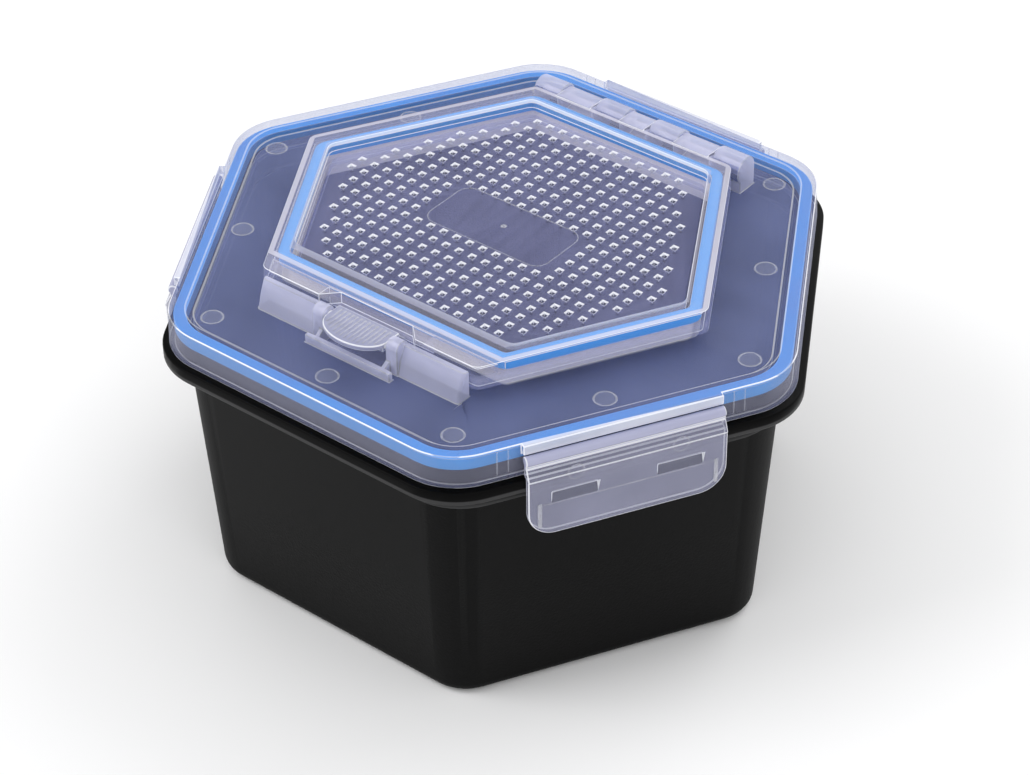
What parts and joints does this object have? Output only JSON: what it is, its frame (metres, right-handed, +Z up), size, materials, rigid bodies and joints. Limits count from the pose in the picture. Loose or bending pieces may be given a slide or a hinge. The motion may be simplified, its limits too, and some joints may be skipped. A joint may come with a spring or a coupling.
{
  "type": "fishing bait box",
  "caption": "Hexagonal fishing bait box: deep tub, sealed lift-off lid held by snap latches, and a hinged hatch with air holes and a thumb catch.",
  "frame": {"origin": "centre of the tub's base, on the surface it stands on", "axes": "+Z up; +Y towards the hatch hinge; -Y towards the thumb catch; +X to the right with the catch in front"},
  "size_m": [0.1886, 0.171, 0.0962],
  "materials": {
    "black_plastic": "fine matte texture",
    "frosted_plastic": "frosted translucent",
    "blue_seal": "smooth soft"
  },
  "bodies": {
    "tub": {"tub": "black_plastic"},
    "lid": {"lid": "frosted_plastic", "lid_gasket": "blue_seal", "hatch_hinge_pin": "frosted_plastic", "catch_pin": "frosted_plastic"},
    "latch_left": {"latch_left": "frosted_plastic"},
    "latch_right": {"latch_right": "frosted_plastic"},
    "latch_back": {"latch_back": "frosted_plastic"},
    "hatch": {"hatch": "frosted_plastic", "hatch_gasket": "blue_seal"},
    "catch_tab": {"catch_tab": "frosted_plastic"}
  },
  "joints": [
    {"name": "lid_lift", "type": "slide", "parent": "tub", "child": "lid", "axis": [0, 0, 1], "range_m": [0, 0.05]},
    {"name": "latch_left_swing", "type": "hinge", "parent": "lid", "child": "latch_left", "pos_m": [-0.07275, -0.042, 0.0836], "axis": [-0.5, 0.866, 0], "range_deg": [0, 140]},
    {"name": "latch_right_swing", "type": "hinge", "parent": "lid", "child": "latch_right", "pos_m": [0.07275, -0.042, 0.0836], "axis": [-0.5, -0.866, 0], "range_deg": [0, 140]},
    {"name": "latch_back_swing", "type": "hinge", "parent": "lid", "child": "latch_back", "pos_m": [0, 0.084, 0.0836], "axis": [1, 0, 0], "range_deg": [0, 140]},
    {"name": "hatch_swing", "type": "hinge", "parent": "lid", "child": "hatch", "pos_m": [0, 0.0633, 0.0922], "axis": [-1, 0, 0], "range_deg": [0, 110]},
    {"name": "catch_tilt", "type": "hinge", "parent": "lid", "child": "catch_tab", "pos_m": [0, -0.0578, 0.0932], "axis": [-1, 0, 0], "range_deg": [0, 60]}
  ]
}
